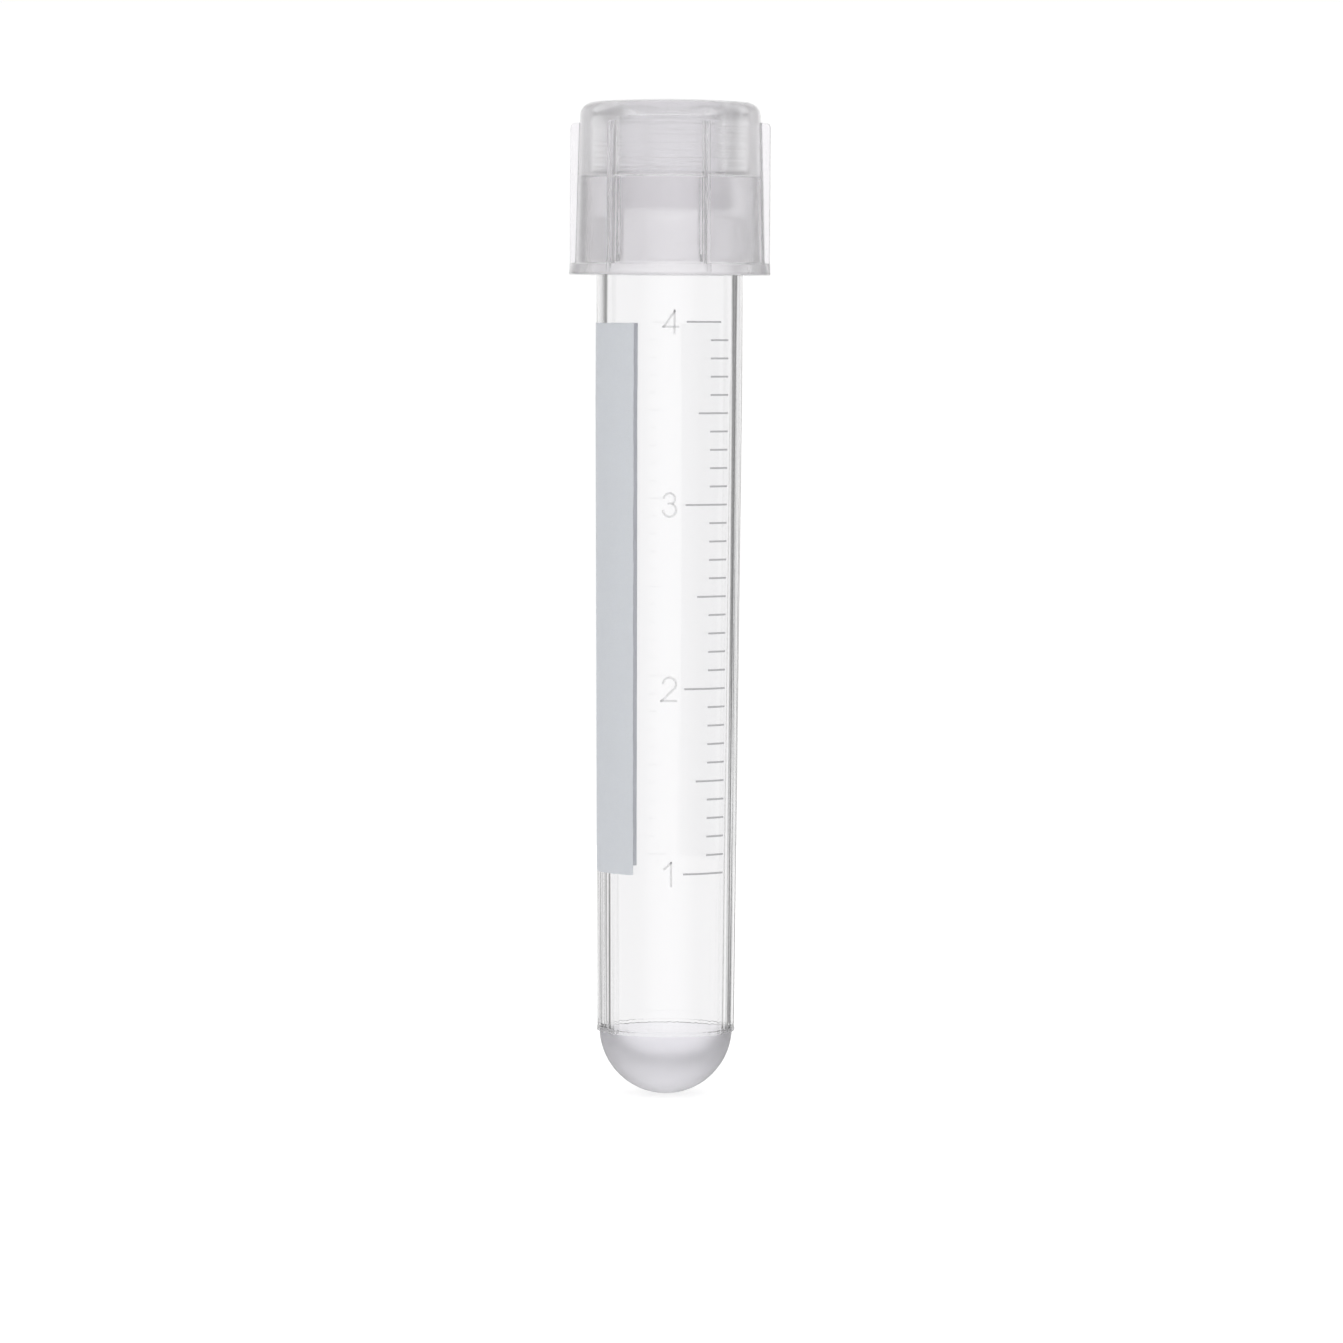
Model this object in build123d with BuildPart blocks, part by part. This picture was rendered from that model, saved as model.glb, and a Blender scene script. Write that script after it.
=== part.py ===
from build123d import *

import os
from math import asin, atan2, cos, degrees, radians, sin, sqrt

# Capped test tube: a clear round-bottomed tube with a two-position push cap,
# a printed volume scale and a printed writing patch.
#
# Sizes are in millimetres and angles in degrees. The tube stands along Z, with
# Z = 0 at the lowest point of its dome. The numerals face -Y, the front.
# A "turn" is an angle round Z, counted from the front towards +X.
# The cap is modelled in its upper, vented position.

# --- Tube: driving sizes ----------------------------------------------------
tube_length = 75.0        # lowest point of the dome to the rim
tube_od = 12.5            # across the straight gauge stretch below the cap
tube_wall = 0.85          # side wall round the mouth
gauge_length = 10.0       # straight stretch that a rack hole holds
gauge_gap = 0.6           # from the straight stretch up to the vented cap
rim_growth = 0.03         # how much further out the rim stands than the gauge stretch
rim_round = 0.25          # rounding of the rim's two edges
mouth_depth = 8.0         # straight bore below the rim
base_od = 11.72           # drafted outside wall where it meets the parting bead
base_wall = 0.81          # side wall at the foot of the bore
floor_thickness = 2.3     # thickness of the moulded floor, on the axis
bowl_flatness = 0.95      # the rounded foot of the bore is this much shallower than a half ball
bowl_inset = 1.45         # its side arc, from the wall into the floor, is centred this far out
dome_step = 0.17          # the dome stands this much inside the wall above it
parting_drop = 0.22       # mould parting line below the dome's centre
bead_height = 0.35        # witness bead on the parting line
bead_proud = 0.05         # how far that bead stands out from the wall
bead_blend = 0.08         # sloped top of the bead

# --- Cap: driving sizes -----------------------------------------------------
vent_travel = 3.5         # cap travel from closed to vented
seat_gap = 0.1            # rim to shoulder when the cap is closed
skirt_depth = 8.4         # shoulder to the cap's open end
skirt_gap = 0.72          # tube's rim to the skirt's bore
skirt_wall = 1.0          # skirt just above the flange
body_draft = 0.3          # how much the cap draws in from the flange to its top
flange_height = 0.94
flange_reach = 0.5        # flange's upper edge beyond the skirt
flange_flare = 0.13       # further reach of its lower edge
plug_length = 2.9         # sealing plug below the shoulder
plug_wall = 0.7
plug_clearance = 0.1      # plug to the tube's mouth
plug_lead = 0.2           # bevel on the end of the plug
chamber_height = 5.7      # shoulder to the ceiling
ceiling_round = 1.2       # arc from the chamber's wall to its ceiling
top_thickness = 0.6       # top plate at its edge
crown_rise = 0.25         # how much the top plate swells on the axis
corner_round = 1.2        # outside corner between the side and the top
fin_count = 6
fin_turn = 22.7           # turn of the first fin
fin_thickness = 0.36
fin_reach = 0.6           # fins beyond the skirt's foot
fin_top_drop = 1.75       # fins end this far below the edge of the top plate
fin_round = 0.4           # rounded upper end of each fin
grip_thickness = 0.5      # inner ribs that hold the tube
grip_clearance = 0.03     # inner ribs to the tube's rim
grip_lead = 1.0           # inner ribs start this far above the cap's open end
bite = 0.25               # depth to which fins and inner ribs root in the wall

# --- Print: driving sizes ---------------------------------------------------
ink_thickness = 0.03
mark_pitch = 15.83        # rise from the first mark, for each millilitre
mark_shrink = 0.07        # each mark falls short of that by this times its square
mark_count = 4            # marked millilitres
mark_parts = 10           # divisions of each millilitre
top_mark_gap = 0.47       # top mark below the closed cap
mark_height = 0.16        # line thickness of every mark
mark_end_turn = 53.0      # right-hand end of the marks
top_mark_end_turn = 44.5  # right-hand end of the top mark
major_start_turn = 13.7
half_start_turn = 24.0
minor_start_turn = 34.5
numeral_turn = 1.1
numeral_height = 2.17
pen_width = 0.18
patch_drop = 0.13         # the patch is printed this much lower than the scale
patch_start_turn = -151.0
patch_end_turn = -28.5

# --- Worked out from the sizes above -----------------------------------------
gauge_radius = tube_od / 2
rim_radius = gauge_radius + rim_growth
mouth_radius = gauge_radius - tube_wall
base_radius = base_od / 2
bowl_radius = base_radius - base_wall
bowl_depth = bowl_radius - bowl_flatness
knuckle_radius = bowl_radius - bowl_inset
dome_radius = base_radius - dome_step
parting_z = dome_radius - parting_drop
parting_radius = sqrt(dome_radius**2 - parting_drop**2)
bead_top_z = parting_z + bead_height
bowl_z = floor_thickness + bowl_depth
floor_radius = (bowl_inset**2 + bowl_depth**2 - knuckle_radius**2) / (2 * (bowl_depth - knuckle_radius))

shoulder_z = tube_length + seat_gap + vent_travel
cap_foot_z = shoulder_z - skirt_depth
flange_top_z = cap_foot_z + flange_height
plug_foot_z = shoulder_z - plug_length
ceiling_z = shoulder_z + chamber_height
cap_edge_z = ceiling_z + top_thickness
cap_top_z = cap_edge_z + crown_rise
skirt_radius = rim_radius + skirt_gap
cap_foot_radius = skirt_radius + skirt_wall
cap_top_radius = cap_foot_radius - body_draft
flange_radius = cap_foot_radius + flange_reach
fin_radius = cap_foot_radius + fin_reach
fin_top_z = cap_edge_z - fin_top_drop
plug_radius = mouth_radius - plug_clearance
plug_bore_radius = plug_radius - plug_wall
grip_radius = rim_radius + grip_clearance

gauge_top_z = cap_foot_z - gauge_gap
gauge_foot_z = gauge_top_z - gauge_length
top_mark_z = cap_foot_z - vent_travel - top_mark_gap
scale_rise = (mark_count - 1) * mark_pitch - (mark_count - 1) ** 2 * mark_shrink
first_mark_z = top_mark_z - scale_rise


def out_plane(turn):
    """Upright plane through the axis: X runs outward at that turn, Y runs up."""
    a = radians(turn)
    return Plane(origin=(0, 0, 0), x_dir=(sin(a), -cos(a), 0), z_dir=(-cos(a), -sin(a), 0))


def facing_plane(turn, height):
    """Upright plane through the axis that faces outward at that turn, Y up."""
    a = radians(turn)
    return Plane(origin=(0, 0, height), x_dir=(cos(a), sin(a), 0), z_dir=(sin(a), -cos(a), 0))


def mark_z(millilitres):
    """Height of the scale's mark this many millilitres above the first one."""
    return first_mark_z + millilitres * mark_pitch - millilitres**2 * mark_shrink


def wall_radius(height):
    """Outside radius of the tube, between the bead and the gauge stretch's top."""
    climb = (height - bead_top_z) / (gauge_foot_z - bead_top_z)
    return base_radius + min(climb, 1) * (gauge_radius - base_radius)


def ink_outline(low, high):
    """Cross-section of a film of ink on the tube's wall between two heights."""
    heights = [low, gauge_foot_z, high] if low < gauge_foot_z < high else [low, high]
    inner = [(wall_radius(h), h) for h in heights]
    outer = [(r + ink_thickness, h) for r, h in reversed(inner)]
    Polyline(*inner, *outer, close=True)


def ink_band(low, high, start_turn, end_turn):
    """Film of ink between two heights and two turns, added to the open part."""
    with BuildSketch(out_plane(start_turn)) as section:
        with BuildLine():
            ink_outline(low, high)
        make_face()
    revolve(section.sketch, axis=Axis.Z, revolution_arc=end_turn - start_turn)


def mark_line(height, start_turn, end_turn):
    """One line of the scale."""
    ink_band(height - mark_height / 2, height + mark_height / 2, start_turn, end_turn)


def stroke(*points):
    """Pen stroke with round ends along straight runs, drawn in the open sketch."""
    for start, end in zip(points, points[1:]):
        with BuildLine() as run:
            Line(start, end)
        trace(run.line, line_width=pen_width)
    with Locations(*points):
        Circle(pen_width / 2)


def curl(centre, radius, start_angle, sweep):
    """Pen stroke with round ends along an arc, drawn in the open sketch."""
    with BuildLine() as run:
        arc = CenterArc(centre, radius, start_angle, sweep)
    trace(run.line, line_width=pen_width)
    with Locations(arc @ 0, arc @ 1):
        Circle(pen_width / 2)
    return arc @ 1


# Each numeral is drawn about the origin by the middle of the pen, from h to -h.
h = (numeral_height - pen_width) / 2


def draw_one():
    stroke((-0.31 * h, 0.44 * h), (0.28 * h, h), (0.28 * h, -h))


def draw_two():
    neck = curl((0.06 * h, 0.44 * h), 0.56 * h, 174, -218)
    stroke(neck, (-0.63 * h, -h), (0.63 * h, -h))


def draw_three():
    curl((-0.03 * h, 0.52 * h), 0.48 * h, 172, -228)
    curl((-0.02 * h, -0.43 * h), 0.57 * h, 100, -275)


def draw_four():
    stroke((-0.58 * h, -0.42 * h), (0.33 * h, 0.9 * h))
    stroke((-0.66 * h, -0.42 * h), (0.66 * h, -0.42 * h))
    stroke((0.33 * h, h), (0.33 * h, -h))


# --- Tube --------------------------------------------------------------------
with BuildPart() as tube_body:
    with BuildSketch(Plane.XZ):
        with BuildLine():
            dome_sweep = 90 - degrees(asin(parting_drop / dome_radius))
            dome = CenterArc((0, dome_radius), dome_radius, -90, dome_sweep)
            # the bowl is a knuckle arc and a floor arc that meet in one tangent
            meet_angle = -degrees(atan2(floor_radius - bowl_depth, bowl_inset))
            knuckle = CenterArc((bowl_inset, bowl_z), knuckle_radius, 0, meet_angle)
            floor = CenterArc(
                (0, floor_thickness + floor_radius), floor_radius, meet_angle, -90 - meet_angle
            )
            Polyline(
                dome @ 1,
                (base_radius + bead_proud, parting_z),
                (base_radius + bead_proud, bead_top_z - bead_blend),
                (base_radius, bead_top_z),
                (gauge_radius, gauge_foot_z),
                (gauge_radius, gauge_top_z),
                (rim_radius, tube_length),
                (mouth_radius, tube_length),
                (mouth_radius, tube_length - mouth_depth),
                knuckle @ 0,
            )
            Line(floor @ 1, dome @ 0)
        make_face()
    revolve(axis=Axis.Z)
    fillet(tube_body.edges().group_by(Axis.Z)[-1], rim_round)
tube_body.part.label = "tube_body"

# --- Cap ---------------------------------------------------------------------
with BuildPart() as snap_cap:
    with BuildSketch(Plane.XZ):
        with BuildLine():
            flat_radius = cap_top_radius - corner_round
            crown_radius = (flat_radius**2 + crown_rise**2) / (2 * crown_rise)
            crown_sweep = degrees(asin(flat_radius / crown_radius))
            crown = CenterArc((0, cap_top_z - crown_radius), crown_radius, 90, -crown_sweep)
            corner = CenterArc((flat_radius, cap_edge_z - corner_round), corner_round, 90, -90)
            ceiling = CenterArc(
                (plug_bore_radius - ceiling_round, ceiling_z - ceiling_round),
                ceiling_round, 0, 90,
            )
            Polyline(
                corner @ 1,
                (cap_foot_radius, flange_top_z),
                (flange_radius, flange_top_z),
                (flange_radius + flange_flare, cap_foot_z),
                (skirt_radius, cap_foot_z),
                (skirt_radius, shoulder_z),
                (plug_radius, shoulder_z),
                (plug_radius, plug_foot_z + plug_lead),
                (plug_radius - plug_lead, plug_foot_z),
                (plug_bore_radius, plug_foot_z),
                ceiling @ 0,
            )
            Polyline(ceiling @ 1, (0, ceiling_z), crown @ 0)
        make_face()
    revolve(axis=Axis.Z)
    # Outer fins for the fingers, and an inner grip rib behind each of them.
    for fin in range(fin_count):
        turn = fin_turn + fin * 360 / fin_count
        with BuildSketch(out_plane(turn)):
            with BuildLine():
                fin_end = CenterArc((fin_radius - fin_round, fin_top_z - fin_round), fin_round, 0, 90)
                Polyline(
                    fin_end @ 1,
                    (cap_top_radius - bite, fin_top_z),
                    (cap_top_radius - bite, flange_top_z - bite),
                    (fin_radius, flange_top_z - bite),
                    fin_end @ 0,
                )
            make_face()
        extrude(amount=fin_thickness / 2, both=True)
        with BuildSketch(out_plane(turn)):
            with BuildLine():
                slope = skirt_radius - grip_radius
                Polyline(
                    (skirt_radius + bite, cap_foot_z + grip_lead),
                    (skirt_radius, cap_foot_z + grip_lead),
                    (grip_radius, cap_foot_z + grip_lead + slope),
                    (grip_radius, shoulder_z + bite),
                    (skirt_radius + bite, shoulder_z + bite),
                    close=True,
                )
            make_face()
        extrude(amount=grip_thickness / 2, both=True)
snap_cap.part.label = "snap_cap"

# --- Print on the tube ---------------------------------------------------------
with BuildPart() as writing_patch:
    ink_band(first_mark_z - patch_drop, top_mark_z - patch_drop, patch_start_turn, patch_end_turn)
writing_patch.part.label = "writing_patch"

with BuildPart() as major_marks:
    for mark in range(mark_count):
        end_turn = top_mark_end_turn if mark == mark_count - 1 else mark_end_turn
        mark_line(mark_z(mark), major_start_turn, end_turn)
major_marks.part.label = "major_marks"

with BuildPart() as half_marks:
    for mark in range(mark_count - 1):
        mark_line(mark_z(mark + 0.5), half_start_turn, mark_end_turn)
half_marks.part.label = "half_marks"

with BuildPart() as minor_marks:
    for step in range((mark_count - 1) * mark_parts):
        if step % mark_parts not in (0, mark_parts // 2):
            mark_line(mark_z(step / mark_parts), minor_start_turn, mark_end_turn)
minor_marks.part.label = "minor_marks"

pieces = [tube_body, snap_cap, writing_patch, major_marks, half_marks, minor_marks]
for mark, draw in enumerate((draw_one, draw_two, draw_three, draw_four)):
    height = mark_z(mark)
    with BuildPart() as numeral:
        with BuildSketch(facing_plane(numeral_turn, height)):
            draw()
        extrude(amount=tube_od)
        with BuildSketch(out_plane(numeral_turn)):
            with BuildLine():
                ink_outline(height - numeral_height, height + numeral_height)
            make_face()
        revolve(axis=Axis.Z, mode=Mode.INTERSECT)
    numeral.part.label = f"numeral_{mark + 1}"
    pieces.append(numeral)

os.makedirs("parts", exist_ok=True)
for piece in pieces:
    export_step(piece.part, f"parts/{piece.part.label}.step")
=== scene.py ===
# %% [markdown]
# # A capped plastic test tube
#
# This file builds the looks of a small laboratory test tube: a clear round-bottomed tube, a milky push
# cap with finger fins, a printed volume scale with numerals and a printed patch to write on.
# The engineering model is loaded first. It says where every piece is and how the cap slides, and the
# pieces made here stand in for its plain solids, in the same place and at the same size.

# %% Load the engineering model
from math import asin, atan2, degrees, radians

import bmesh
import bpy
import numpy as np
from mathutils import Matrix, Vector


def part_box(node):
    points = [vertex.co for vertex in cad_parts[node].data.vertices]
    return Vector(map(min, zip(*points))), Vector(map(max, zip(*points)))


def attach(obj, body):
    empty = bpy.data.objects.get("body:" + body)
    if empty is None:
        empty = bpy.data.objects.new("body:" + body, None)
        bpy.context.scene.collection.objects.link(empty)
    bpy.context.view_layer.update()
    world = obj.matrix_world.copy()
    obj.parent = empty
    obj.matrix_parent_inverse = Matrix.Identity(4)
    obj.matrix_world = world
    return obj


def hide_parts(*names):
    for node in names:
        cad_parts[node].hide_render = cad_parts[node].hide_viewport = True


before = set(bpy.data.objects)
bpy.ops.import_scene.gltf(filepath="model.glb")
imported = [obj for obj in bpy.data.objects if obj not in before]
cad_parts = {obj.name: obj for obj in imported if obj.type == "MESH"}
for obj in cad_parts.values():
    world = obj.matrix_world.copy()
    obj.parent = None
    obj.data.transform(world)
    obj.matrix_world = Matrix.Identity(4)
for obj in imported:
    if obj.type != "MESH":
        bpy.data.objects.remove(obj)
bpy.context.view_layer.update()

# %% [markdown]
# Sizes are written in millimetres, because that is how such a tube is drawn and measured, and are
# turned into Blender's metres only when a mesh is filled. The heights come from the loaded model:
# a node's box says where its rim, foot or first mark is. Round shapes use a radius, and a "turn",
# the angle round the upright axis, counted from the front (-Y) towards +X.

# %% Sizes read from the model
MM = 0.001
NEAR = 1e-3  # places closer than this count as the same
TINY = 1e-6  # room for rounding errors in a comparison


def span(node):
    """Lowest and highest corner of a node of the model, in millimetres."""
    low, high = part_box(node)
    return np.array(low) / MM, np.array(high) / MM


tube_high = span("tube_body")[1]
cap_low, cap_high = span("snap_cap")
patch_low, patch_high = span("writing_patch")
marks_low, marks_high = span("major_marks")
rim_z = tube_high[2]
rim_radius = tube_high[0]
cap_foot_z, cap_top_z = cap_low[2], cap_high[2]
flange_foot_radius = cap_high[0]
print(f"rim at {rim_z:.2f} mm, radius {rim_radius:.2f}; cap from {cap_foot_z:.2f} to {cap_top_z:.2f} mm")

# %% [markdown]
# ## Camera
#
# The camera comes first, because every later choice is judged through it. A long lens from half a
# metre away keeps the two sides of the tube nearly parallel. It looks down by a few degrees, enough
# to see the tube's rim as a thin ellipse, and it is rolled by a third of a degree.

# %% Camera
LENS = 166.2
SENSOR_WIDTH = 36.0
CAMERA_DISTANCE = 530.5
CAMERA_HEIGHT = 66.8
CAMERA_SHIFT_RIGHT = 0.34
CAMERA_PITCH = -3.291
CAMERA_ROLL = 0.30

camera_data = bpy.data.cameras.new("camera")
camera_data.lens = LENS
camera_data.sensor_width = SENSOR_WIDTH
camera = bpy.data.objects.new("camera", camera_data)
bpy.context.collection.objects.link(camera)
tilt = Matrix.Rotation(radians(90 + CAMERA_PITCH), 4, "X") @ Matrix.Rotation(radians(CAMERA_ROLL), 4, "Z")
place = Vector((CAMERA_SHIFT_RIGHT, -CAMERA_DISTANCE, CAMERA_HEIGHT)) * MM
camera.matrix_world = Matrix.Translation(place) @ tilt
bpy.context.scene.camera = camera
print("lens", LENS, "mm, from", CAMERA_DISTANCE, "mm")

# %% [markdown]
# ## Turning profiles into surfaces
#
# The tube and its cap are turned shapes, so each could be made with a Screw modifier on a drawn
# outline. Here the grid is worked out with numpy instead, because the cap's fins and ribs can then be
# part of the same closed surface: clear plastic shows every face inside it, so pieces that only
# overlap would draw false lines. An outline is a list of corners, each with its own rounding.

# %% Outlines with rounded corners
ARC_STEP = 7.0  # degrees between two points of a small rounding
STRAIGHT = 1e-4  # a corner that turns less than this, in radians, needs no rounding
LEAD = 0.1  # longest lead of an extra point before and after a rounding


def arc(centre, radius, start, end, step=ARC_STEP):
    """Points on an arc from the start angle to the end angle, counted from +r towards +z.
    A point is the centre plus the radius times the cosine and the sine of its angle."""
    count = max(2, int(round(abs(end - start) / step)) + 1)
    angles = np.radians(np.linspace(start, end, count))
    return np.column_stack((centre[0] + radius * np.cos(angles), centre[1] + radius * np.sin(angles)))


def rounded(corners, step=ARC_STEP):
    """Outline through the corners (r, z, rounding). At each corner the arc that touches both sides
    starts at the rounding times the tangent of half the turn before the corner. A point is added
    just before and just after each arc, so that smooth shading stays close to the arc."""
    places = np.array([corner[:2] for corner in corners], dtype=float)
    outline = [places[:1]]
    for before, (r, z, rounding), after in zip(places, corners[1:-1], places[2:]):
        corner = np.array((r, z))
        into = (corner - before) / np.linalg.norm(corner - before)
        out = (after - corner) / np.linalg.norm(after - corner)
        turn = atan2(into[0] * out[1] - into[1] * out[0], into @ out)
        if rounding == 0 or abs(turn) < STRAIGHT:
            outline.append(corner[None])
            continue
        reach = rounding * abs(np.tan(turn / 2))
        side = np.sign(turn) * np.array((-into[1], into[0]))
        centre = corner - into * reach + side * rounding
        start = degrees(atan2(-side[1], -side[0]))
        bend = arc(centre, rounding, start, start + degrees(turn), step)
        lead = min(rounding / 3, LEAD)
        outline += [bend[:1] - into * lead, bend, bend[-1:] + out * lead]
    outline.append(places[-1:])
    return np.concatenate(outline)


square = rounded([(0, 0, 0), (2, 0, 1), (2, 2, 0)])
print("a square corner rounded by 1 mm takes", len(square), "points")

# %% [markdown]
# A grid of rows (along the outline) and columns (round the axis) becomes a mesh of four-sided faces.
# The columns wrap round, and the first and last row shrink to a point on the axis, closed by a fan of
# triangles. Afterwards bmesh turns every face outwards and counts the edges that don't have two
# faces. There must be none, because light that enters clear plastic has to find its way out again.

# %% Closed surfaces of revolution
CREASE = 32.0  # faces that meet at more than this many degrees keep a sharp edge


def around(points, turns):
    """Points (r, z) and turns in degrees to x, y, z: x is r sin(turn) and y is -r cos(turn)."""
    r, z = points[..., 0], points[..., 1]
    angle = np.radians(turns)
    return np.stack((r * np.sin(angle), -r * np.cos(angle), z + 0 * angle), axis=-1)


def fill_mesh(name, vertices, faces):
    """Mesh object from arrays in millimetres, smooth except at its sharp creases."""
    mesh = bpy.data.meshes.new(name)
    mesh.from_pydata((vertices * MM).tolist(), [], faces)
    mesh.validate()
    shell = bmesh.new()
    shell.from_mesh(mesh)
    bmesh.ops.recalc_face_normals(shell, faces=shell.faces)
    open_edges = sum(not edge.is_manifold for edge in shell.edges)
    volume = shell.calc_volume() / MM**3
    shell.to_mesh(mesh)
    shell.free()
    mesh.shade_smooth()
    mesh.set_sharp_from_angle(angle=radians(CREASE))
    piece = bpy.data.objects.new(name, mesh)
    bpy.context.collection.objects.link(piece)
    print(f"{name}: {len(mesh.polygons)} faces, {open_edges} open edges, {volume:.1f} cubic mm")
    return piece


def turned(name, grid):
    """Closed surface from a grid of rows by columns. Columns wrap round, and the first and last row
    are single points on the axis, which become the tips of two fans."""
    rows, columns = grid.shape[:2]
    index = 1 + np.arange((rows - 2) * columns).reshape(rows - 2, columns)
    right = np.roll(index, -1, axis=1)
    quads = np.stack((index[:-1], right[:-1], right[1:], index[1:]), axis=-1).reshape(-1, 4)
    first, last = 0, 1 + index.size
    fan_in = np.stack((np.full(columns, first), right[0], index[0]), axis=-1)
    fan_out = np.stack((index[-1], right[-1], np.full(columns, last)), axis=-1)
    vertices = np.concatenate((grid[:1, 0], grid[1:-1].reshape(-1, 3), grid[-1:, 0]))
    return fill_mesh(name, vertices, quads.tolist() + fan_in.tolist() + fan_out.tolist())


print("turn 0 is", around(np.array((1, 0)), 0.0), "and turn 90 is", around(np.array((1, 0)), 90.0).round(3))

# %% [markdown]
# ## The tube
#
# The tube is one moulding of clear plastic. Its outline runs from the lowest point of the dome up the
# outside, over the rim and down the bore to the floor. The dome is a little narrower than the wall
# above it, and the ledge between them carries a fine bead where two parts of the mould met. Inside,
# the bore ends in a flatter bowl, so the floor is thick and works like a lens. That thick floor is
# what makes the foot of such a tube look grey.

# %% Tube sizes
TUBE_COLUMNS = 360
gauge_radius = 6.25  # the straight stretch under the cap
gauge_foot_z = 59.6
gauge_top_z = cap_foot_z - 0.6
rim_round = 0.25
mouth_radius = 5.40
mouth_depth = 8.0

base_radius = 5.86  # the wall just above the bead
dome_radius = 5.69
parting_drop = 0.22  # the parting line is this far below the dome's centre
parting_z = dome_radius - parting_drop
ledge_round = 0.04
bead_top_z = parting_z + 0.35
bead_proud = 0.05
bead_blend = 0.08  # height over which the bead's top runs back into the wall
bead_rounds = 0.06, 0.05, 0.08  # at its foot, at its top, and where it meets the wall

bowl_radius = 5.05
bowl_z = 6.4  # height at which the bowl's knuckle begins
bowl_entry = 0.2  # the bore's straight side stops this far above it
knuckle = 3.6
floor_z = 2.3
print(f"dome radius {dome_radius} mm, parting line at {parting_z:.2f} mm, floor {floor_z} mm thick")


# %% Tube outline
def wall_radius(height):
    """Outside radius of the tube's wall: it grows evenly from the bead to the gauge stretch."""
    climb = np.clip((height - bead_top_z) / (gauge_foot_z - bead_top_z), 0, 1)
    return base_radius + climb * (gauge_radius - base_radius)


def bowl_outline():
    """The rounded foot of the bore: a knuckle arc, then a wider floor arc that meets it smoothly.
    The floor arc's radius is (inset squared + depth squared - knuckle squared) over twice (depth -
    knuckle), which puts both arcs' centres and their meeting point on one line."""
    depth = bowl_z - floor_z
    inset = bowl_radius - knuckle
    floor_arc = (inset**2 + depth**2 - knuckle**2) / (2 * (depth - knuckle))
    meet = -degrees(atan2(floor_arc - depth, inset))
    side = arc((inset, bowl_z), knuckle, 0, meet, 2)
    floor = arc((0, floor_z + floor_arc), floor_arc, meet, -90, 2)
    return np.concatenate((side, floor[1:]))


def tube_outline():
    """The dome is an arc up to the parting line, the wall and bore are straight runs between rounded
    corners, and the bowl closes the bore."""
    dome = arc((0, dome_radius), dome_radius, -90, -degrees(asin(parting_drop / dome_radius)), 2)
    bead_foot_round, bead_top_round, bead_root_round = bead_rounds
    side = rounded([
        (*dome[-2], 0),
        (*dome[-1], ledge_round),
        (base_radius + bead_proud, parting_z, bead_foot_round),
        (base_radius + bead_proud, bead_top_z - bead_blend, bead_top_round),
        (base_radius, bead_top_z, bead_root_round),
        (gauge_radius, gauge_foot_z, 0),
        (gauge_radius, gauge_top_z, 0),
        (rim_radius, rim_z, rim_round),
        (mouth_radius, rim_z, rim_round),
        (mouth_radius, rim_z - mouth_depth, 0),
        (bowl_radius, bowl_z + bowl_entry, 0),
    ], step=15)
    return np.concatenate((dome[:-2], side, bowl_outline()))


tube_profile = tube_outline()
print(len(tube_profile), "points along the tube's outline")

# %% [markdown]
# Two faults of a real moulding are put in. The bead is ragged, because the mould's parts never close
# perfectly, so its points are pushed in and out by a few sine waves. The core that shapes the bore
# stands a little askew, so the bore leans, and near its foot the wall is thinner on the right. A bump
# in the material could show neither, because both change the outline.

# %% Tube
BEAD_WAVER = 0.03
BEAD_MARGIN = 0.05
WAVER_COLUMNS = 11  # columns between the sideways and the upright waver
CORE_LEAN = 0.15  # the bore's foot stands this far to the right


def flash(turns):
    """Ragged edge that the mould's parts leave, from -1 to 1: four sine waves round the tube."""
    angle = np.radians(turns)
    waves = [np.sin(rate * angle + rate) for rate in (7, 23, 41, 67)]
    return sum(waves) / len(waves)


tube_turns = np.linspace(0, 360, TUBE_COLUMNS, endpoint=False)
r, z = tube_profile.T
bead_middle, bead_half = (parting_z + bead_top_z) / 2, (bead_top_z - parting_z) / 2
on_bead = (r > dome_radius) & (abs(z - bead_middle) < bead_half + BEAD_MARGIN)
ragged = on_bead[:, None] * flash(tube_turns)[None, :] * BEAD_WAVER
ragged = np.stack((ragged, np.roll(ragged, WAVER_COLUMNS, axis=1)), axis=-1)
tube_grid = around(tube_profile[:, None, :] + ragged, tube_turns[None, :])
in_bore = (r < mouth_radius + TINY) & (z < rim_z) & (np.arange(len(r)) > np.argmax(z))
lean = CORE_LEAN * (rim_z - z) / (rim_z - floor_z) * in_bore
tube_grid[..., 0] += lean[:, None]
tube = turned("clear_tube", tube_grid)

# %% [markdown]
# ## The cap
#
# The cap is one moulding: a top plate, a thick side wall with a flange at its foot, a hollow plug
# that seals the mouth, six thin fins for the fingers and six ribs inside that stand round the tube.
# Its outline starts in the middle of the chamber's ceiling, runs down the plug, under the shoulder,
# down the skirt, round the flange and up the outside to the crown.

# %% Cap sizes
CAP_COLUMNS = 180
shoulder_z = cap_foot_z + 8.4
flange_top_z = cap_foot_z + 0.94
ceiling_z = shoulder_z + 5.7
cap_edge_z = ceiling_z + 0.6
skirt_radius = rim_radius + 0.72
cap_foot_radius = skirt_radius + 1.0
cap_top_radius = cap_foot_radius - 0.3
flange_radius = cap_foot_radius + 0.5
plug_radius = mouth_radius - 0.1
chamber_radius = plug_radius - 0.7
plug_foot_z = shoulder_z - 2.9
plug_lead = 0.2

ceiling_round = 1.2
corner_round = 1.2
plug_tip_round = 0.08
plug_lead_round = 0.15
shoulder_round = 0.25
flange_root_round = 0.18
edge_round = 0.12

fin_count = 6
first_fin_turn = 22.7
fin_radius = cap_foot_radius + 0.6
fin_half = 0.18
fin_tip_round = 0.08
fin_root_round = 0.2
fin_draft = 0.02
fin_top_z = cap_edge_z - 1.75
fin_end_round = 0.4

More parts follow.
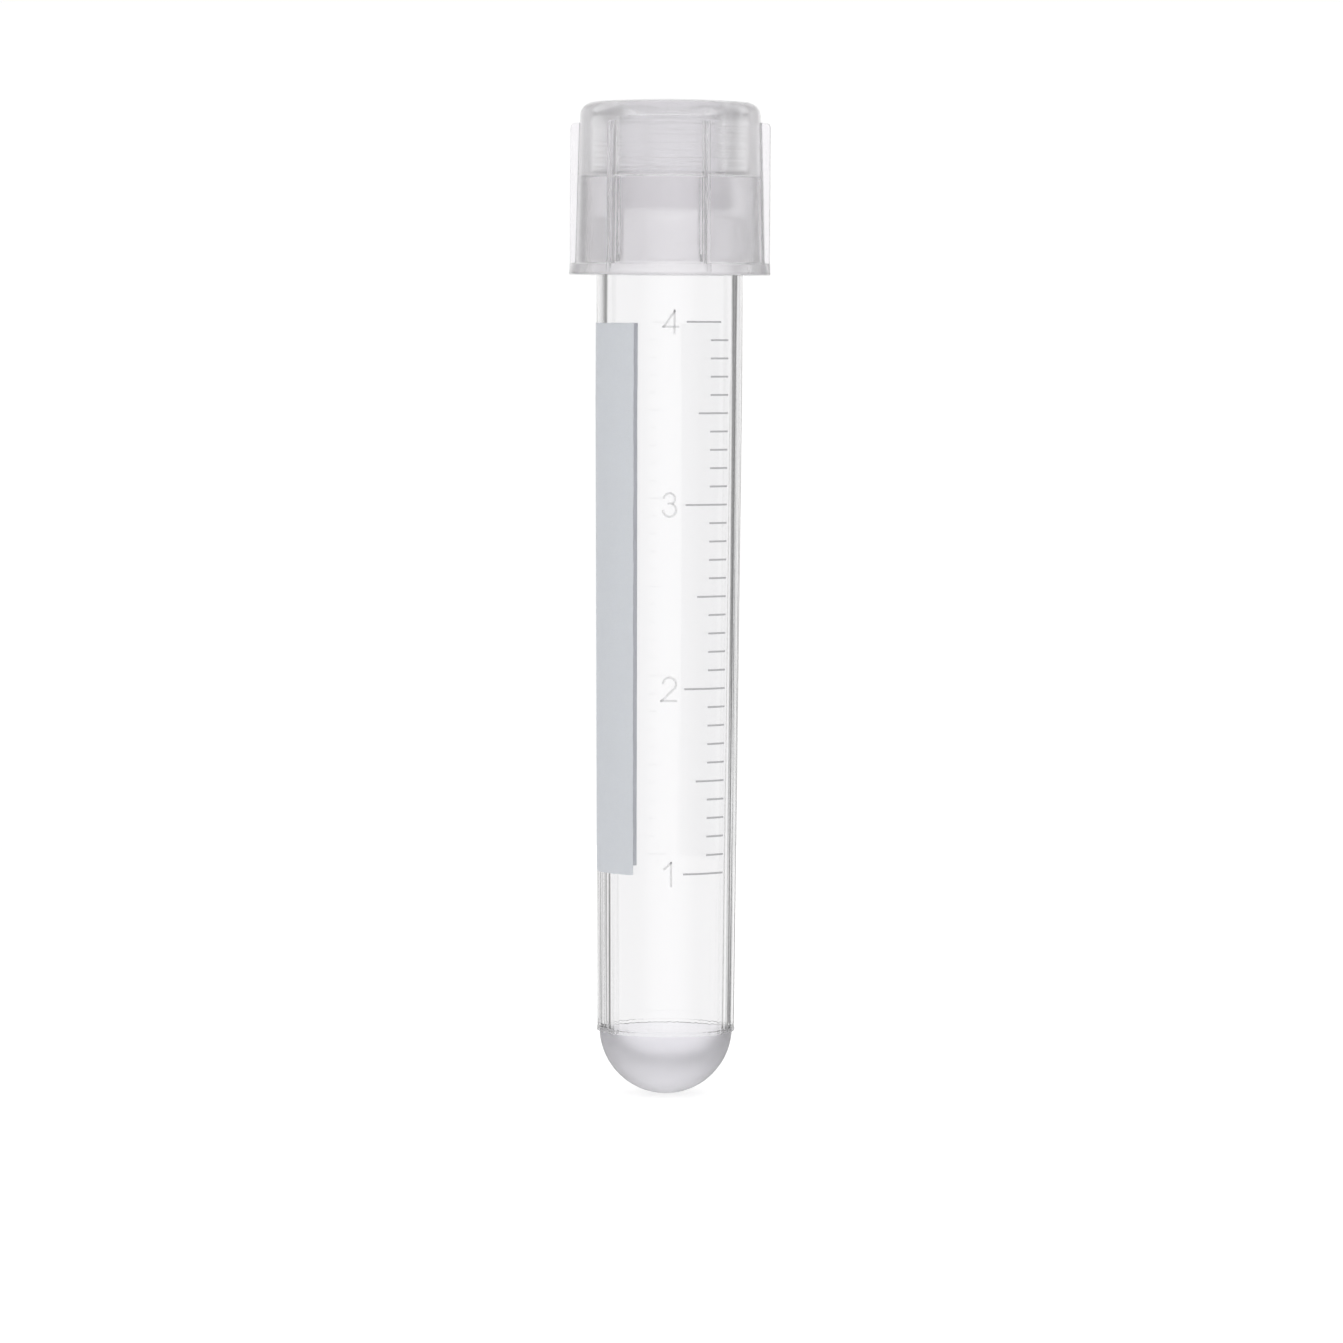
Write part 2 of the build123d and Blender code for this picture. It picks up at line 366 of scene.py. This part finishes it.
rib_half = 0.25
rib_radius = rim_radius + 0.03
rib_foot_z = cap_foot_z + 1.0
rib_lead = skirt_radius - rib_radius
print(f"{fin_count} fins out to {fin_radius:.2f} mm, ribs in to {rib_radius:.2f} mm")


# %% Cap outline
def cap_outline():
    """Straight runs between rounded corners up to the side wall, then rows that follow the fins' round
    ends, a corner arc, and a crown arc. The crown's radius is (flat squared + rise squared) over twice
    the rise. A row on the side wall has its radius from its share of the way up the slope."""
    flat = cap_top_radius - corner_round
    rise = cap_top_z - cap_edge_z
    crown_radius = (flat**2 + rise**2) / (2 * rise)
    lean = degrees(asin(flat / crown_radius))
    corner = arc((flat, cap_edge_z - corner_round), corner_round, 0, 90 - lean, 6)
    crown = arc((0, cap_top_z - crown_radius), crown_radius, 90 - lean, 90, lean / 6)
    inside = rounded([
        (0, ceiling_z, 0),
        (chamber_radius, ceiling_z, ceiling_round),
        (chamber_radius, plug_foot_z, plug_tip_round),
        (plug_radius - plug_lead, plug_foot_z, plug_tip_round),
        (plug_radius, plug_foot_z + plug_lead, plug_lead_round),
        (plug_radius, shoulder_z, edge_round),
        (skirt_radius, shoulder_z, shoulder_round),
        (skirt_radius, rib_foot_z + rib_lead, 0),
        (skirt_radius, rib_foot_z, 0),
        (skirt_radius, cap_foot_z, edge_round),
        (flange_foot_radius, cap_foot_z, edge_round),
        (flange_radius, flange_top_z, edge_round),
        (cap_foot_radius, flange_top_z, flange_root_round),
        (cap_top_radius, cap_edge_z - corner_round, 0),
    ], step=12)
    side_foot, side_top = inside[-2], inside[-1]
    fin_end = fin_top_z - fin_end_round + fin_end_round * np.sin(np.radians(np.arange(0, 91, 15)))
    heights = np.concatenate(([fin_top_z - 4, fin_top_z - 1], fin_end, [fin_top_z + fin_draft]))
    share = (heights - side_foot[1]) / (side_top[1] - side_foot[1])
    side = np.column_stack((side_foot[0] + share * (side_top[0] - side_foot[0]), heights))
    return np.concatenate((inside[:-1], side, corner, crown[1:]))


cap_profile = cap_outline()
print(len(cap_profile), "points along the cap's outline")

# %% [markdown]
# The fins and ribs could be twelve thin boxes joined on with a Boolean modifier, but a Boolean on a
# fine curved grid leaves slivers, and clear plastic shows them. Here they are ripples of the same
# surface. Along each fin the radius is pushed out by the fin's reach, and along each rib it is pushed
# in, with rounded tips and small fillets at the root, as a mould cutter leaves them.

# %% Fins and ribs as ripples of the cap's surface
ROW_SPREAD = 0.1  # keeps the rows over the flange apart where a fin covers them
FOOT_MARGIN = 0.01


def ripple(distance, half, tip_round, root_round):
    """Parts of a rib's cross-section at a distance from its middle plane: the fillet at its foot, a
    quarter circle that ends one rounding outside the half thickness, the drop of its rounded tip,
    and whether the distance is inside the rib at all."""
    away = np.abs(distance)
    fillet = np.clip(half + root_round - away, 0, root_round)
    foot = root_round - np.sqrt(root_round**2 - fillet**2)
    edge = np.clip(away - (half - fin_draft - tip_round), 0, tip_round)
    drop = tip_round - np.sqrt(tip_round**2 - edge**2)
    return foot, drop, away <= half - fin_draft + TINY


def nearest_rib(turns):
    """Signed angle in degrees from each turn to the nearest fin."""
    pitch = 360 / fin_count
    return (turns - first_fin_turn + pitch / 2) % pitch - pitch / 2


def rippled(profile, turns):
    """Radii of the cap's grid: the outline's radius, plus the fins outside, minus the ribs inside.
    A fin reaches its full radius, cut by a quarter circle at its upper end, and it runs out over the
    flange's slope. A rib's depth grows from nothing over its lead."""
    r, z = profile[:, :1], profile[:, 1:]
    distance = np.radians(nearest_rib(turns))[None, :] * cap_foot_radius
    row = np.arange(len(profile))[:, None]
    above_edge = z > cap_foot_z + edge_round + FOOT_MARGIN
    bore = (abs(r - skirt_radius) < NEAR) & above_edge & (z < shoulder_z)
    outer = row > np.flatnonzero(bore[:, 0])[-1] + 1

    end = np.clip(z - (fin_top_z - fin_end_round), 0, fin_end_round)
    fin_edge = fin_radius - fin_end_round + np.sqrt(fin_end_round**2 - end**2)
    flange_share = np.clip((z - cap_foot_z) / (flange_top_z - cap_foot_z), 0, 1)
    reach = np.where(z > flange_top_z, fin_edge - r, (fin_radius - flange_radius) * flange_share)
    along_top = (abs(z - flange_top_z) < NEAR) | ((z > flange_top_z) & (r > cap_foot_radius))
    reach = np.where(along_top, fin_radius - r + ROW_SPREAD * (r - cap_foot_radius), reach)
    reach = np.where(outer & (z <= fin_top_z + TINY), np.maximum(reach, 0), 0)
    foot, drop, solid = ripple(distance, fin_half, fin_tip_round, fin_root_round)
    fin = np.where(solid, np.maximum(reach - drop, 0), np.minimum(foot, reach))

    depth = np.clip((z - rib_foot_z) / rib_lead, 0, 1) * (skirt_radius - rib_radius)
    depth = np.where(bore, depth, 0)
    foot, drop, solid = ripple(distance, rib_half, fin_tip_round, fin_root_round)
    rib = np.where(solid, np.maximum(depth - drop, 0), np.minimum(foot, depth))
    return np.stack((r + fin - rib, z + 0 * fin), axis=-1)


def rib_columns(half, root_round):
    """Distances from a rib's middle plane at which the grid needs a column: the sines of four angles
    across the tip's rounding, and the versed sines of the same angles across the root's."""
    angle = np.radians((0, 30, 60, 90))
    tip = half - fin_draft - fin_tip_round + fin_tip_round * np.sin(angle)
    root = half + root_round * (1 - np.cos(angle))
    return np.concatenate((tip, root))


print("a fin's columns stand at", rib_columns(fin_half, fin_root_round).round(3), "mm from its middle")

# %% [markdown]
# The grid round the cap is coarse, with extra columns only where a fin or rib has an edge. An even
# grid fine enough for a fin's tip would need thousands of columns.

# %% Cap
FIN_CLEAR = 0.5  # degrees between a fin's last column and the nearest coarse one

fine = np.concatenate(([0], rib_columns(fin_half, fin_root_round), rib_columns(rib_half, fin_root_round)))
fine = np.unique(np.round(np.concatenate((fine, -fine)), 4))
fine_turns = np.degrees(fine / cap_foot_radius)
fins = first_fin_turn + 360 / fin_count * np.arange(fin_count)
coarse = np.linspace(0, 360, CAP_COLUMNS, endpoint=False)
coarse = coarse[np.abs(nearest_rib(coarse)) > fine_turns.max() + FIN_CLEAR]
cap_turns = np.sort(np.concatenate((coarse, (fins[:, None] + fine_turns).ravel() % 360)))
cap = turned("push_cap", around(rippled(cap_profile, cap_turns), cap_turns[None, :]))

# %% [markdown]
# ## Print
#
# The scale, the numerals and the patch are screen printed: a film of ink about three hundredths of
# a millimetre thick. An image on the wall would be the usual way to show print, but then the exported
# mesh would have none. Each mark is therefore its own thin closed film that follows the wall. Its inner
# face is sunk by a few thousandths of a millimetre, so that it never lies exactly in the wall's face.

# %% Films of ink on the wall
INK = 0.03
SUNK = 0.005


def film(turn, height):
    """Closed film over a grid of turns (degrees) and heights: the outer face stands one thickness
    of ink over the wall, the inner face is sunk, and the grid's rim is walled in."""
    rows, columns = turn.shape
    wall = wall_radius(height)
    outer = around(np.stack((wall + INK, height), axis=-1), turn).reshape(-1, 3)
    inner = around(np.stack((wall - SUNK, height), axis=-1), turn).reshape(-1, 3)
    index = np.arange(rows * columns).reshape(rows, columns)
    face = np.stack((index[:-1, :-1], index[:-1, 1:], index[1:, 1:], index[1:, :-1]), axis=-1)
    face = face.reshape(-1, 4)
    rim = np.concatenate((index[0, :-1], index[:-1, -1], index[-1, :0:-1], index[:0:-1, 0]))
    ahead = np.roll(rim, -1)
    side = np.stack((ahead, rim, rim + index.size, ahead + index.size), axis=-1)
    return np.concatenate((outer, inner)), np.concatenate((face, face[:, ::-1] + index.size, side))


def print_films(name, films):
    """One piece from several separate films."""
    starts = np.cumsum([0] + [len(points) for points, _ in films[:-1]])
    faces = np.concatenate([faces + start for (_, faces), start in zip(films, starts)])
    return fill_mesh(name, np.concatenate([points for points, _ in films]), faces.tolist())


ink_radius = wall_radius(patch_low[2]) + INK
print(f"ink stands {INK} mm over the wall, {ink_radius:.2f} mm from the axis at the patch's foot")

# %% [markdown]
# The patch is a plain field to write on. It wraps round the left side to the back, so from the front
# only a part of it is seen. A piece cut from a cylinder would have ruler-straight edges, and squeezed
# ink doesn't, so the edges of this band waver by a few hundredths of a millimetre.

# %% Writing patch
PATCH_START, PATCH_END = -151.0, -28.5
PATCH_COLUMNS, PATCH_ROWS = 150, 240


def patch_film():
    """A large band. The waver of its edges is a sum of sine waves of unrelated lengths along the
    edge, and it fades to nothing at the patch's middle."""
    side, rise = np.meshgrid(np.linspace(0, 1, PATCH_COLUMNS), np.linspace(0, 1, PATCH_ROWS))
    low, high = patch_low[2], patch_high[2]
    waver_end = 0.012 * np.sin(37 * rise) + 0.010 * np.sin(91 * rise + 1) + 0.008 * np.sin(233 * rise + 2)
    waver_top = 0.010 * np.sin(41 * side) + 0.008 * np.sin(97 * side + 2)
    degrees_per_mm = degrees(1 / gauge_radius)
    turn = PATCH_START + side * (PATCH_END - PATCH_START) + (2 * side - 1) * waver_end * degrees_per_mm
    height = low + rise * (high - low) + (2 * rise - 1) * waver_top
    return film(turn, height)


patch = print_films("writing_patch_ink", [patch_film()])

# %% [markdown]
# The scale has a long mark at each whole millilitre, a middling one at each half and a short one at
# each tenth. All end on one upright line at the right, except the topmost, which is printed shorter.
# The bore widens upward, so a millilitre takes a little less height at the top than at the foot. An
# Array modifier would space the marks evenly, so their heights come from a formula instead.

# %% Scale marks
mark_height = 0.16
mark_count = 4
mark_parts = 10
mark_end, top_mark_end = 53.0, 44.5  # turns at which the marks end
major_start, half_start, minor_start = 13.7, 24.0, 34.5  # turns at which they start
first_mark_z, top_mark_z = marks_low[2] + mark_height / 2, marks_high[2] - mark_height / 2
top_mark = mark_count - 1
mark_shrink = 0.07
mark_pitch = (top_mark_z - first_mark_z) / top_mark + top_mark * mark_shrink


def band(low, high, start, end, step=1.0):
    """Rectangular film between two heights and two turns."""
    across = np.linspace(start, end, max(3, int(abs(end - start) / step)))
    turn, height = np.meshgrid(across, np.linspace(low, high, 3))
    return film(turn, height)


def mark_z(millilitres):
    """Height of the mark this many millilitres above the first: the millilitres times the pitch,
    less the millilitres squared times the shrink."""
    return first_mark_z + millilitres * mark_pitch - millilitres**2 * mark_shrink


def mark(millilitres, start, end=mark_end):
    """One mark, half its thickness above and half below its height."""
    height = mark_z(millilitres)
    return band(height - mark_height / 2, height + mark_height / 2, start, end)


major = [mark(step, major_start) for step in range(top_mark)] + [mark(top_mark, major_start, top_mark_end)]
half = [mark(step + 0.5, half_start) for step in range(top_mark)]
minor = [mark(step / mark_parts, minor_start) for step in range(top_mark * mark_parts) if step % 5]
major_marks = print_films("major_mark_ink", major)
half_marks = print_films("half_mark_ink", half)
minor_marks = print_films("minor_mark_ink", minor)

# %% [markdown]
# The numerals are drawn as a draughtsman's pen would draw them: straight runs and arcs of one pen
# width with round ends, laid flat and then wrapped on the wall. A text object would give a typeface
# of its own, with more weight than this thin engraving style.

# %% Pen strokes
numeral_turn = 1.1
numeral_height = 2.17
pen = 0.18


def run(*corners):
    """Path of a pen along straight runs, ten points to a millimetre."""
    corners = np.array(corners)
    counts = (2 + 10 * np.linalg.norm(np.diff(corners, axis=0), axis=1)).astype(int)
    parts = [np.linspace(*ends)[:-1] for ends in zip(corners, corners[1:], counts)]
    return np.concatenate((*parts, corners[-1:]))


def stroke(path, centre_z):
    """Film one pen wide along a path. Past each end the half width shrinks as the root of the pen's
    radius squared less the distance squared, which is a round end."""
    radius = pen / 2
    heading = np.gradient(path, axis=0)
    heading /= np.linalg.norm(heading, axis=1, keepdims=True)
    beyond = radius * np.sin(np.radians((80, 60, 40, 20)))[:, None]
    path = np.concatenate((path[0] - beyond * heading[0], path, path[-1] + beyond[::-1] * heading[-1]))
    heading = np.concatenate((heading[:1].repeat(4, 0), heading, heading[-1:].repeat(4, 0)))
    width = np.full(len(path), radius)
    width[:4] = width[:-5:-1] = np.sqrt(radius**2 - beyond[:, 0]**2)
    normal = np.column_stack((-heading[:, 1], heading[:, 0]))
    across = np.linspace(-1, 1, 5)
    flat = path[:, None] + (width[:, None] * across)[..., None] * normal[:, None]
    height = centre_z + flat[..., 1]
    turn = numeral_turn + np.degrees(np.arcsin(flat[..., 0] / wall_radius(height)))
    return film(turn, height)


print("a numeral is", numeral_height, "mm high, drawn with a pen of", pen, "mm")

# %% [markdown]
# Each numeral is a list of strokes round its own middle. Places and radii are shares of h, half the
# height between the middles of its topmost and lowest strokes. Its middle stands at its mark's height.

# %% Numerals
h = (numeral_height - pen) / 2
two_bowl = arc((0.06 * h, 0.44 * h), 0.56 * h, 174, -44, 8)
two_slope = run(two_bowl[-1], (-0.63 * h, -h))[1:]
three_top = arc((-0.03 * h, 0.52 * h), 0.48 * h, 172, -56, 8)
three_foot = arc((-0.02 * h, -0.43 * h), 0.57 * h, 100, -175, 8)
numeral_paths = {
    1: [run((-0.31 * h, 0.44 * h), (0.28 * h, h)), run((0.28 * h, h), (0.28 * h, -h))],
    2: [np.concatenate((two_bowl, two_slope)), run((-0.63 * h, -h), (0.63 * h, -h))],
    3: [three_top, three_foot],
    4: [
        run((-0.58 * h, -0.42 * h), (0.33 * h, 0.9 * h)),
        run((-0.66 * h, -0.42 * h), (0.66 * h, -0.42 * h)),
        run((0.33 * h, h), (0.33 * h, -h)),
    ],
}
numerals = {
    value: print_films(f"numeral_{value}_ink", [stroke(path, mark_z(value - 1)) for path in paths])
    for value, paths in numeral_paths.items()
}

# %% [markdown]
# ## Materials
#
# A material's maths is easier to read as an expression than as a web of nodes. `Term` wraps one
# socket, and adding or multiplying terms adds the Math nodes. Every other node comes from
# `Finish.node`, which takes the node's type, its settings and the values or links of its sockets.

# %% Shader expressions
class Term:
    """One output socket of a node tree, usable in Python arithmetic."""

    def __init__(self, finish, socket):
        self.finish, self.socket = finish, socket

    def maths(self, operation, other):
        return self.finish.node("ShaderNodeMath", {"operation": operation}, {0: self, 1: other})

    def __add__(self, other):
        return self.maths("ADD", other)

    def __sub__(self, other):
        return self.maths("SUBTRACT", other)

    def __mul__(self, other):
        return self.maths("MULTIPLY", other)

    def __rsub__(self, other):
        return (self * -1) + other

    __radd__, __rmul__ = __add__, __mul__

    def rise(self, low, high):
        """0 below low, 1 above high, and a smooth step between them."""
        return self.finish.node("ShaderNodeMapRange", {"interpolation_type": "SMOOTHSTEP"}, {
            "Value": self, "From Min": low, "From Max": high,
        })


class Finish:
    """The nodes of a material, or of the world, under construction."""

    def __init__(self, owner, output="ShaderNodeOutputMaterial"):
        self.owner = owner
        owner.use_nodes = True
        self.tree = owner.node_tree
        self.tree.nodes.clear()
        self.output = self.tree.nodes.new(output)

    def node(self, kind, settings=None, sockets=None, out=0):
        made = self.tree.nodes.new(kind)
        for key, value in (settings or {}).items():
            setattr(made, key, value)
        for key, value in (sockets or {}).items():
            if isinstance(value, Term):
                self.tree.links.new(value.socket, made.inputs[key])
            else:
                made.inputs[key].default_value = value
        return Term(self, made.outputs[out])

    def vector(self, operation, sockets, out=0):
        """Vector maths, which keeps the three parts apart."""
        return self.node("ShaderNodeVectorMath", {"operation": operation}, sockets, out)

    def place(self):
        """Object coordinates, in millimetres."""
        raw = self.node("ShaderNodeTexCoord", out="Object")
        return self.vector("SCALE", {0: raw, "Scale": 1 / MM})

    def axis(self, vector, name):
        """The X, Y or Z part of a vector."""
        return self.node("ShaderNodeSeparateXYZ", sockets={0: vector}, out=name)

    def noise(self, vector, scale, detail=2.0):
        return self.node("ShaderNodeTexNoise", sockets={"Vector": vector, "Scale": scale, "Detail": detail})

    def mix(self, factor, first, second):
        """Colour between two colours."""
        sockets = {"Factor": factor, 6: first, 7: second}
        return self.node("ShaderNodeMix", {"data_type": "RGBA"}, sockets, out=2)

    def bump(self, height, distance=1.0):
        """Normal that a height, in shares of a distance in millimetres, would give the surface."""
        sockets = {"Height": height, "Distance": distance * MM, "Strength": 1.0}
        return self.node("ShaderNodeBump", sockets=sockets)

    def plastic(self, sockets):
        return self.node("ShaderNodeBsdfPrincipled", sockets=sockets)

    def close(self, surface, volume=None):
        """Connects the finished shaders to the output and gives back the material or world."""
        self.tree.links.new(surface.socket, self.output.inputs["Surface"])
        if volume:
            self.tree.links.new(volume.socket, self.output.inputs["Volume"])
        print(f"{self.owner.name}: {len(self.tree.nodes)} nodes")
        return self.owner


def new_finish(name):
    return Finish(bpy.data.materials.new(name))


# %% [markdown]
# ### Clear plastic
#
# The tube is polished, and only the outer skin of its dome is matt. One material holds both. Its mask
# is 1 within a tenth of a millimetre of the dome's sphere and below the parting line, and there the
# roughness rises. A second material on the dome's faces would be simpler, but it would end in a hard
# step along the grid. The bump is hardly there: a slow ripple from the flow of the plastic over all
# of the tube, and a fine grain on the matt skin.

# %% Clear plastic
POLISHED, MATT = (0.95, 0.948, 0.952, 1), (0.93, 0.917, 0.965, 1)
POLISHED_ROUGHNESS, MATT_ROUGHNESS = 0.015, 0.415


def clear_plastic():
    """Matt where the mask is 1 and polished elsewhere. The mask is one step of the distance from the
    dome's centre times one step of the height."""
    finish = new_finish("clear_plastic")
    place = finish.place()
    centred = finish.vector("SUBTRACT", {0: place, 1: (0, 0, dome_radius)})
    away = finish.vector("LENGTH", {0: centred}, out="Value")
    below = 1 - finish.axis(place, "Z").rise(parting_z - 0.02, parting_z + 0.02)
    frosted = away.rise(dome_radius - 0.12, dome_radius - 0.04) * below
    flow = finish.noise(place, 0.35)
    grain = finish.noise(place, 9.0, 3.0)
    return finish.close(finish.plastic({
        "Base Color": finish.mix(frosted, POLISHED, MATT),
        "Roughness": frosted * (MATT_ROUGHNESS - POLISHED_ROUGHNESS) + POLISHED_ROUGHNESS,
        "Transmission Weight": 1.0,
        "IOR": 1.49,
        "Normal": finish.bump(flow * 0.002 + grain * frosted * 0.02),
    }))


tube.data.materials.append(clear_plastic())

# %% [markdown]
# ### Milky cap plastic
#
# The cap lets light through but scatters it on the way. A painted white would look the same on a thin
# fin and on the thick wall, so the haze is a Volume Scatter inside the closed shell, and thick places
# turn milkier by themselves. Part of the light is also scattered at the surface, which the plastic
# shader does when it isn't wholly transmissive. The outer skin is smooth and the inside is duller,
# but the chamber is polished, with fine turning marks of the core that shaped it. They are a noise
# stretched across and squeezed in height, about three to a millimetre. The chamber's faces are also
# given a darker grey colour, which is a painted shade for the dimmer light inside the hollow plug.

# %% Milky cap plastic
# The second colour is painted shade: a darker grey laid on the chamber's faces inside the plug.
MILKY, CHAMBER_PAINTED_SHADE = (0.992, 0.98, 1.0, 1), (0.84, 0.83, 0.86, 1)
SKIN_ROUGHNESS, CORE_ROUGHNESS, CHAMBER_ROUGHNESS = 0.09, 0.29, 0.15
TURNING_MARKS = (0.06, 0.06, 3.0)  # per millimetre, on each axis


def cap_plastic():
    """The inner faces are those within a radius and under a height, and the chamber's are those of
    them that are above the shoulder."""
    finish = new_finish("cap_plastic")
    place = finish.place()
    z = finish.axis(place, "Z")
    flat = finish.vector("MULTIPLY", {0: place, 1: (1, 1, 0)})
    away = finish.vector("LENGTH", {0: flat}, out="Value")
    under_ceiling = 1 - z.rise(ceiling_z + 0.1, ceiling_z + 0.2)
    core = (1 - away.rise(skirt_radius + 0.15, skirt_radius + 0.3)) * under_ceiling
    chamber = core * z.rise(shoulder_z + 0.1, shoulder_z + 0.4)
    squeezed = finish.vector("MULTIPLY", {0: place, 1: TURNING_MARKS})
    rings = finish.noise(squeezed, 1.0, 3.0) * chamber
    grain = finish.noise(place, 6.0, 3.0)
    dullness = core * (CORE_ROUGHNESS - SKIN_ROUGHNESS) - chamber * (CORE_ROUGHNESS - CHAMBER_ROUGHNESS)
    shader = finish.plastic({
        # The chamber's darker base colour is painted shade, not a tint of the plastic.
        "Base Color": finish.mix(chamber, MILKY, CHAMBER_PAINTED_SHADE),
        "Roughness": grain * 0.05 + dullness + SKIN_ROUGHNESS,
        "Transmission Weight": 0.85,
        "IOR": 1.50,
        "Normal": finish.bump(grain * 0.01 + rings * 0.20),
    })
    haze = finish.node("ShaderNodeVolumeScatter", sockets={
        "Color": (0.995, 0.99, 1.0, 1), "Density": 60.0, "Anisotropy": 0.2,
    })
    return finish.close(shader, haze)


cap.data.materials.append(cap_plastic())

# %% [markdown]
# ### Inks
#
# All the print is matt ink. It lies a little thicker in one place than in the next, so a speckle of
# noise moves its colour between two close tones, and roughens and lifts it. Light gets a short way
# into such a thin film, most of all into the patch, so a share of it is subsurface scattering with a
# radius of a quarter of a millimetre. An opaque paint would look cut out and stuck on. The numerals
# are paler than the marks.

# %% Inks
INK_BLEED = 0.25  # millimetres that light spreads inside the ink


def ink(name, thick, thin, through):
    """Matt ink between two tones. Through is the share of light that enters it."""
    finish = new_finish(name)
    speckle = finish.noise(finish.place(), 14.0, 3.0).rise(0.35, 0.65)
    return finish.close(finish.plastic({
        "Base Color": finish.mix(speckle, thick, thin),
        "Roughness": speckle * 0.15 + 0.5,
        "Subsurface Weight": through,
        "Subsurface Radius": (1.0, 1.0, 1.1),
        "Subsurface Scale": INK_BLEED * MM,
        "Normal": finish.bump(speckle * 0.01),
    }))


patch.data.materials.append(ink("white_ink", (0.56, 0.585, 0.635, 1), (0.53, 0.555, 0.605, 1), 0.65))
scale_ink = ink("scale_ink", (0.34, 0.34, 0.35, 1), (0.42, 0.42, 0.43, 1), 0.1)
numeral_ink = ink("numeral_ink", (0.60, 0.60, 0.61, 1), (0.68, 0.68, 0.69, 1), 0.3)
for piece in (major_marks, half_marks, minor_marks):
    piece.data.materials.append(scale_ink)
for piece in numerals.values():
    piece.data.materials.append(numeral_ink)

# %% [markdown]
# ## Attach the pieces
#
# Each piece rides on the body that carries it and stands in for the model's plain solid of the same
# part. Each row also names the finish that the piece was given above, which the loop doesn't use.
# Keyframes could move the cap too, but then only one motion would be right, and a ride follows the
# cap wherever its slide puts it.

# %% Attach
attachments = [
    (tube, "tube", "clear_plastic", "tube_body"),
    (cap, "cap", "cap_plastic", "snap_cap"),
    (patch, "tube", "white_ink", "writing_patch"),
    (major_marks, "tube", "scale_ink", "major_marks"),
    (half_marks, "tube", "scale_ink", "half_marks"),
    (minor_marks, "tube", "scale_ink", "minor_marks"),
    *((piece, "tube", "numeral_ink", f"numeral_{value}") for value, piece in numerals.items()),
]
for piece, body, slot, node in attachments:
    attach(piece, body)
    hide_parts(node)
print(len(attachments), "pieces attached")

# %% [markdown]
# ## Light
#
# Clear plastic has no colour of its own. It is drawn by what it bends towards the lens, so it is lit
# the way glassware is, in an all-white room. Lamps would put small bright spots on the wall, so the
# light comes from the world and from large glowing cards. The world is one even white, a touch
# brighter to the lens than to the plastic, which keeps the ground clean.

# %% White room
ROOM_LEVEL = 1.0
GROUND_LEVEL = 1.02

studio = Finish(bpy.data.worlds.new("studio"), "ShaderNodeOutputWorld")
seen_directly = studio.node("ShaderNodeLightPath", out="Is Camera Ray")
white = studio.node("ShaderNodeBackground", sockets={
    "Color": (1, 1, 1, 1), "Strength": seen_directly * (GROUND_LEVEL - ROOM_LEVEL) + ROOM_LEVEL,
})
bpy.context.scene.world = studio.close(white)

# %% [markdown]
# The back panel's middle is as white as the room, but its ends are dark, like the black cards that
# stand beside glassware in a studio. The plastic bends them into thin dark lines where its wall is
# seen edge on. The front panel is brighter than the room and lights the print and the cap. Both hang
# on the camera, as they do on a table where the object is turned and the light stays, and the camera
# itself doesn't see them.

# %% Panels
DARK_END = 0.22
FRONT_LEVEL = 1.45


def glow(name, strength, edge, left, right):
    """Light across a card: it rises from the edge level to full strength over the left stretch and
    falls back over the right one, both in millimetres from the card's middle."""
    finish = new_finish(name)
    across = finish.axis(finish.place(), "X")
    level = across.rise(*left) * (1 - across.rise(*right)) * (strength - edge) + edge
    light = finish.node("ShaderNodeEmission", sockets={"Color": (1, 1, 1, 1), "Strength": level})
    return finish.close(light)


def panel(name, size, depth, strength, edge, left, right):
    """Glowing card across the camera's view axis, at a depth behind the object."""
    signs = np.array([(-1, -1, 0), (1, -1, 0), (1, 1, 0), (-1, 1, 0)])
    mesh = bpy.data.meshes.new(name)
    mesh.from_pydata((signs * (*size, 0) * MM / 2).tolist(), [], [(0, 1, 2, 3)])
    mesh.materials.append(glow(name, strength, edge, left, right))
    card = bpy.data.objects.new(name, mesh)
    bpy.context.collection.objects.link(card)
    card.visible_camera = False
    card.parent = camera
    card.location = (0, 0, -(CAMERA_DISTANCE + depth) * MM)


panel("back_panel", (1300, 1400), 500, 1.0, DARK_END, left=(-500, -200), right=(265, 330))
panel("front_panel", (1800, 2000), -600, FRONT_LEVEL, ROOM_LEVEL, left=(-800, 0), right=(100, 900))

# %% [markdown]
# The floor glows a little, so that it is as white as the ground behind it and shows no horizon. It is
# kept just at white: a much brighter floor would eat into the thin edges of the tube in front of it.
# Reflections and what is seen through the plastic leave it out, so they show the same even room all
# along the tube, and not where the floor ends.

# %% Floor
FLOOR_RADIUS = 250.0
FLOOR_GLOW = 0.68
FLOOR_GREY = (0.45, 0.45, 0.45, 1)

floor_turns = np.linspace(0, 360, 96, endpoint=False)
floor_ring = around(np.array([[FLOOR_RADIUS, 0.0]])[:, None], floor_turns[None, :])[0]
floor_mesh = bpy.data.meshes.new("floor")
floor_mesh.from_pydata((floor_ring * MM).tolist(), [], [list(range(len(floor_ring)))])
floor = bpy.data.objects.new("floor", floor_mesh)
bpy.context.collection.objects.link(floor)
floor_finish = new_finish("floor")
floor_mesh.materials.append(floor_finish.close(floor_finish.plastic({
    "Base Color": FLOOR_GREY, "Roughness": 0.8,
    "Emission Color": (1, 1, 1, 1), "Emission Strength": FLOOR_GLOW,
})))
floor.visible_transmission = False
floor.visible_glossy = False

# %% [markdown]
# Light crosses many faces on its way through the wall, the bore and the cap's plug, and it scatters
# again and again in the haze. With Blender's usual limits it would be lost on the way, and the cap
# would turn dark. The Standard view keeps white at white.

# %% Light paths
scene = bpy.context.scene
scene.view_settings.view_transform = "Standard"
scene.cycles.max_bounces = 32
scene.cycles.transmission_bounces = 32
scene.cycles.transparent_max_bounces = 16
scene.cycles.volume_bounces = 24
print("bounces:", scene.cycles.max_bounces, "of which in haze:", scene.cycles.volume_bounces)
